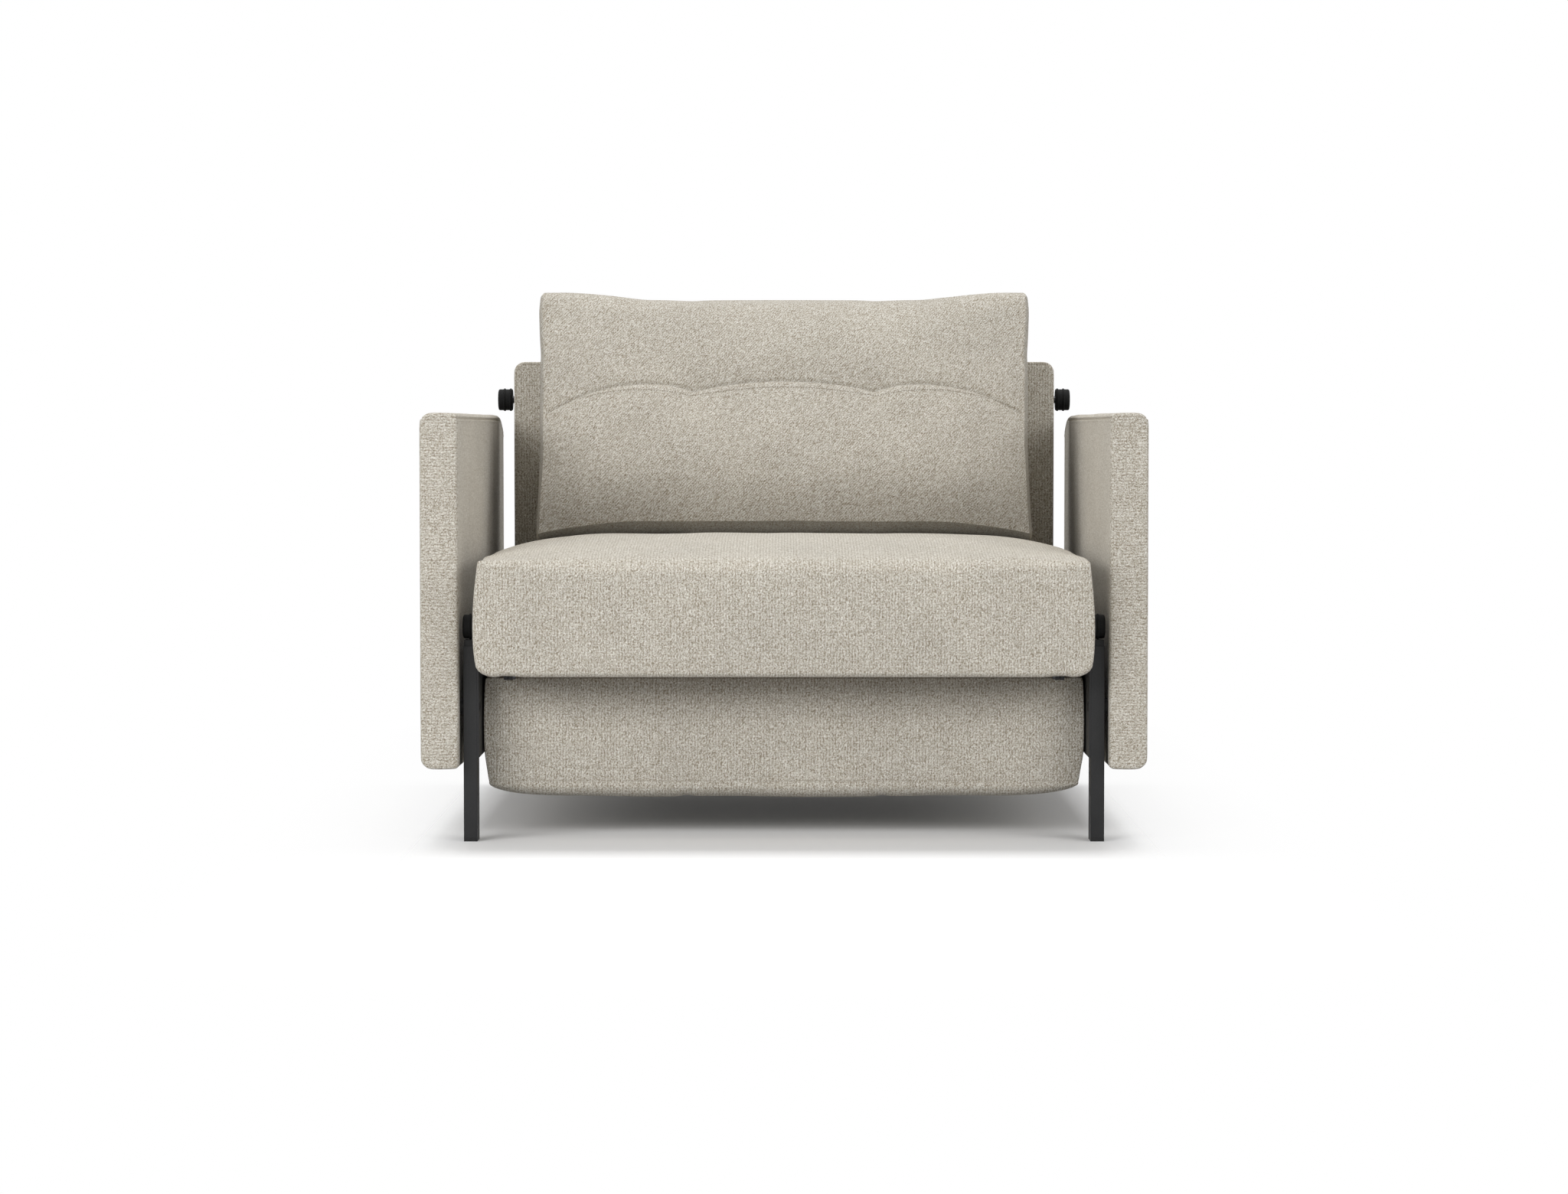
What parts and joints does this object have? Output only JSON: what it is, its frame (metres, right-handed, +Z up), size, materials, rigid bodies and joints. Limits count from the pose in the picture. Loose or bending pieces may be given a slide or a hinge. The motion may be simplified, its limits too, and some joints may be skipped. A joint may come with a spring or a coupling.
{
  "type": "convertible chair bed",
  "caption": "Upholstered one-seat armchair with a steel side frame; the seat rolls forward, the back drops flat and a third section unfolds into a single bed.",
  "frame": {"origin": "on the floor at the middle of the footprint", "axes": "+X to the right as seen from the front, the chair faces -Y, +Z up"},
  "size_m": [1.076, 0.97, 0.84],
  "materials": {
    "upholstery": "matte",
    "cushion_filling": "matte",
    "frame_wood": "matte",
    "slat_wood": "satin",
    "panel_board": "matte",
    "black_steel": "satin",
    "zinc_steel": "satin",
    "roller_rubber": "matte",
    "track_plastic": "matte",
    "cap_plastic": "satin"
  },
  "bodies": {
    "base": {"left_front_leg": "black_steel", "left_rear_leg": "black_steel", "left_top_rail": "black_steel", "left_roller_track": "track_plastic", "left_side_plate": "black_steel", "right_front_leg": "black_steel", "right_rear_leg": "black_steel", "right_top_rail": "black_steel", "right_roller_track": "track_plastic", "right_side_plate": "black_steel", "rear_crossbars": "black_steel", "foot_caps": "cap_plastic", "left_arm_board": "panel_board", "left_arm_pad": "upholstery", "right_arm_board": "panel_board", "right_arm_pad": "upholstery", "arm_spacers": "black_steel", "arm_bolts": "zinc_steel"},
    "seat_section": {"seat_mattress": "upholstery", "seat_front_rail": "frame_wood", "seat_rear_rail": "frame_wood", "left_seat_rail": "frame_wood", "right_seat_rail": "frame_wood", "seat_slats": "slat_wood", "seat_roller_axles": "zinc_steel", "left_hinge_plate": "black_steel", "right_hinge_plate": "black_steel", "foot_hinge_lugs": "black_steel", "hinge_plate_screws": "zinc_steel"},
    "back_section": {"back_pad": "upholstery", "back_bottom_rail": "frame_wood", "back_top_rail": "frame_wood", "left_back_rail": "frame_wood", "right_back_rail": "frame_wood", "back_panel": "panel_board", "back_slats": "slat_wood", "back_roller_axles": "zinc_steel", "back_pivot_pins": "zinc_steel"},
    "foot_section": {"foot_mattress": "upholstery", "foot_hinge_rail": "frame_wood", "foot_end_rail": "frame_wood", "left_foot_rail": "frame_wood", "right_foot_rail": "frame_wood", "foot_slats": "slat_wood", "foot_hinge_arms": "black_steel", "foot_hinge_pins": "zinc_steel", "leg_brackets": "black_steel"},
    "support_leg": {"left_support_leg": "black_steel", "right_support_leg": "black_steel", "support_leg_bar": "black_steel", "support_leg_pins": "zinc_steel"},
    "back_cushion": {"back_cushion_cover": "upholstery", "back_cushion_filling": "cushion_filling"},
    "front_left_wheel": {"front_left_roller": "roller_rubber"},
    "front_right_wheel": {"front_right_roller": "roller_rubber"},
    "rear_left_wheel": {"rear_left_roller": "roller_rubber"},
    "rear_right_wheel": {"rear_right_roller": "roller_rubber"},
    "back_left_wheel": {"back_left_roller": "roller_rubber"},
    "back_right_wheel": {"back_right_roller": "roller_rubber"}
  },
  "joints": [
    {"name": "bed_slide", "type": "slide", "parent": "base", "child": "seat_section", "axis": [0, -1, 0], "range_m": [0, 0.3]},
    {"name": "back_fold", "type": "hinge", "parent": "seat_section", "child": "back_section", "pos_m": [0, 0.343, 0.336], "axis": [-1, 0, 0], "range_deg": [0, 90]},
    {"name": "foot_unfold", "type": "hinge", "parent": "seat_section", "child": "foot_section", "pos_m": [0, -0.423, 0.25], "axis": [-1, 0, 0], "range_deg": [0, 180]},
    {"name": "support_leg_fold", "type": "hinge", "parent": "foot_section", "child": "support_leg", "pos_m": [0, 0.265, 0.218], "axis": [-1, 0, 0], "range_deg": [0, 90]},
    {"name": "cushion_lift_off", "type": "slide", "parent": "back_section", "child": "back_cushion", "axis": [0, -0.6, 0.8], "range_m": [0, 0.4]},
    {"name": "front_left_roll", "type": "hinge", "parent": "seat_section", "child": "front_left_wheel", "pos_m": [-0.465, -0.4, 0.3195], "axis": [1, 0, 0], "continuous": true},
    {"name": "front_right_roll", "type": "hinge", "parent": "seat_section", "child": "front_right_wheel", "pos_m": [0.465, -0.4, 0.3195], "axis": [1, 0, 0], "continuous": true},
    {"name": "rear_left_roll", "type": "hinge", "parent": "seat_section", "child": "rear_left_wheel", "pos_m": [-0.469, 0.175, 0.3195], "axis": [1, 0, 0], "continuous": true},
    {"name": "rear_right_roll", "type": "hinge", "parent": "seat_section", "child": "rear_right_wheel", "pos_m": [0.469, 0.175, 0.3195], "axis": [1, 0, 0], "continuous": true},
    {"name": "back_left_roll", "type": "hinge", "parent": "back_section", "child": "back_left_wheel", "pos_m": [-0.469, 0.3595, 0.663], "axis": [1, 0, 0], "continuous": true},
    {"name": "back_right_roll", "type": "hinge", "parent": "back_section", "child": "back_right_wheel", "pos_m": [0.469, 0.3595, 0.663], "axis": [1, 0, 0], "continuous": true}
  ],
  "couplings": [
    {"joint": "back_fold", "follows": "bed_slide", "rad_per_m": 5.236},
    {"joint": "support_leg_fold", "follows": "foot_unfold", "ratio": 0.5}
  ]
}
